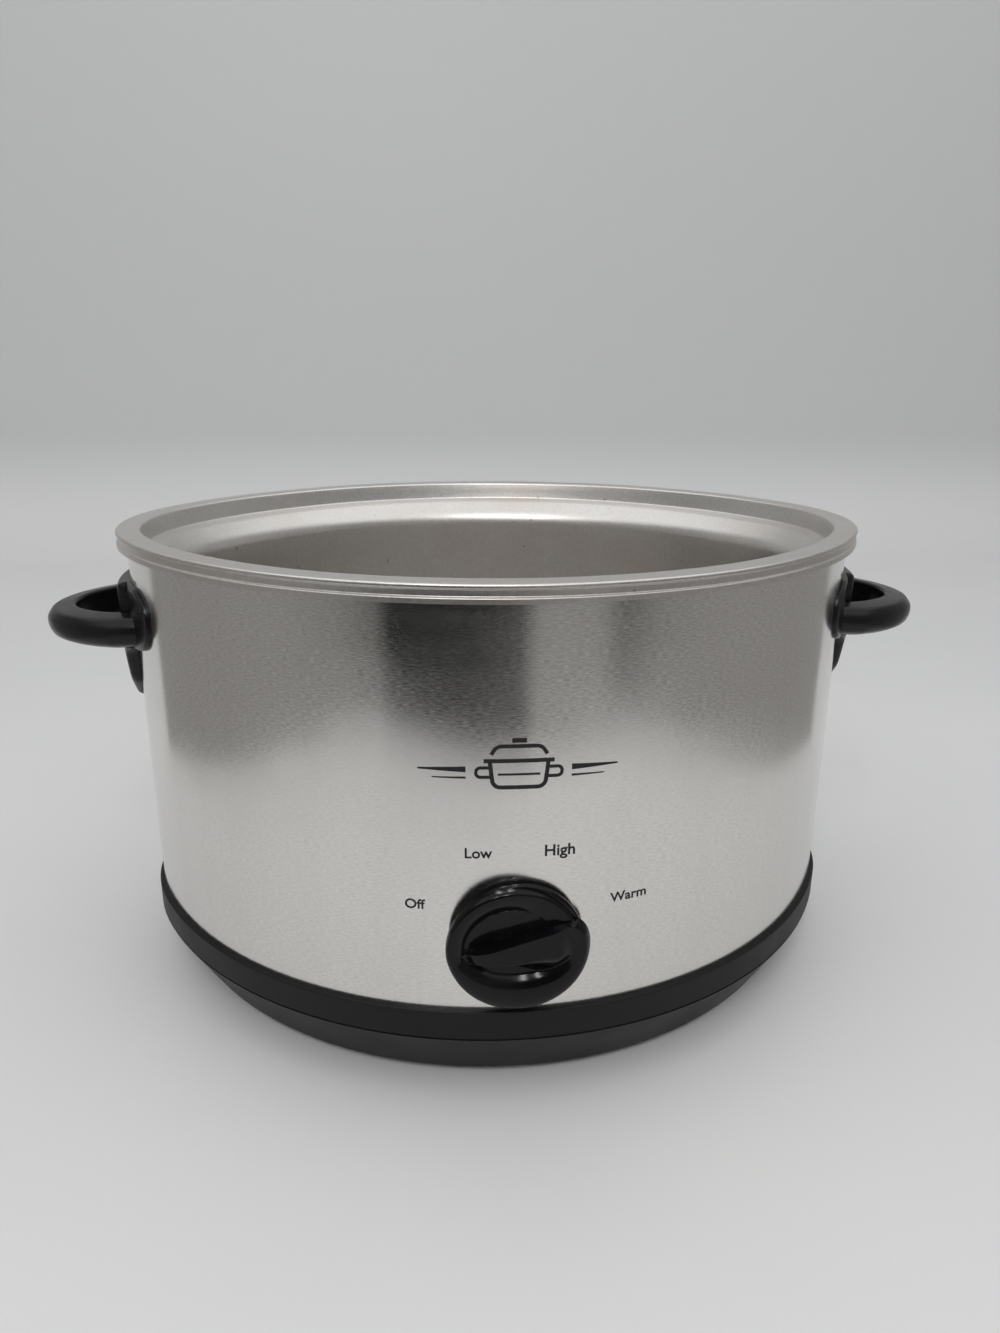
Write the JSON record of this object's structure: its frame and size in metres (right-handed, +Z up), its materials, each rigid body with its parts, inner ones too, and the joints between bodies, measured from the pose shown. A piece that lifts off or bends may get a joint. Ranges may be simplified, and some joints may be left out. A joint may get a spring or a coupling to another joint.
{
  "type": "slow cooker heating base",
  "caption": "Open oval slow cooker heating base: brushed metal wrap, bare aluminium well, black base, two loop handles and a rotary switch knob.",
  "frame": {"origin": "on the table plane under the centre of the oval", "axes": "+X to the right seen from the front (knob side), +Y to the back, +Z up"},
  "size_m": [0.4092, 0.2905, 0.21],
  "materials": {
    "brushed_shell": "fine brushed, satin",
    "well_aluminium": "drawn, satin",
    "base_plastic": "fine textured",
    "handle_plastic": "satin moulded",
    "knob_plastic": "gloss",
    "foot_rubber": "matt",
    "zinc_steel": "zinc plated",
    "thin_aluminium": "mill finish",
    "mica_element": "mica and fibre",
    "fibre_blanket": "matt fibre",
    "switch_plastic": "moulded",
    "rotor_plastic": "moulded",
    "contact_brass": "plain",
    "gland_plastic": "satin moulded",
    "block_ceramic": "unglazed",
    "lead_sleeve": "fibre sleeve",
    "earth_sleeve": "green sleeve",
    "label_plate": "matt, blank"
  },
  "bodies": {
    "housing": {"outer_shell": "brushed_shell", "seam_strip": "brushed_shell", "seam_rivets": "zinc_steel", "well_liner": "well_aluminium", "base_tray": "base_plastic", "rubber_feet": "foot_rubber", "base_screws": "zinc_steel", "rating_plate": "label_plate", "heat_reflector": "thin_aluminium", "liner_studs": "zinc_steel", "stud_spacers": "zinc_steel", "stud_nuts": "zinc_steel", "heater_band": "mica_element", "heater_terminals": "contact_brass", "heater_clamp": "zinc_steel", "clamp_spring": "zinc_steel", "insulation_wrap": "fibre_blanket", "thermal_fuse": "thin_aluminium", "fuse_clip": "zinc_steel", "switch_bracket": "zinc_steel", "switch_body": "switch_plastic", "switch_cover": "switch_plastic", "switch_terminals": "contact_brass", "right_handle": "handle_plastic", "left_handle": "handle_plastic", "right_handle_backing": "zinc_steel", "left_handle_backing": "zinc_steel", "handle_screws": "zinc_steel", "cord_gland": "gland_plastic", "terminal_block": "block_ceramic", "block_screws": "zinc_steel", "heater_wires": "lead_sleeve", "switch_wires": "lead_sleeve", "earth_wire": "earth_sleeve", "earth_tag": "contact_brass"},
    "switch_knob": {"knob": "knob_plastic", "knob_shaft": "zinc_steel", "knob_clip": "zinc_steel", "switch_rotor": "rotor_plastic"}
  },
  "joints": [
    {"name": "knob_turn", "type": "hinge", "parent": "housing", "child": "switch_knob", "pos_m": [0, -0.1355, 0.072], "axis": [0, -1, 0], "range_deg": [0, 135]}
  ]
}
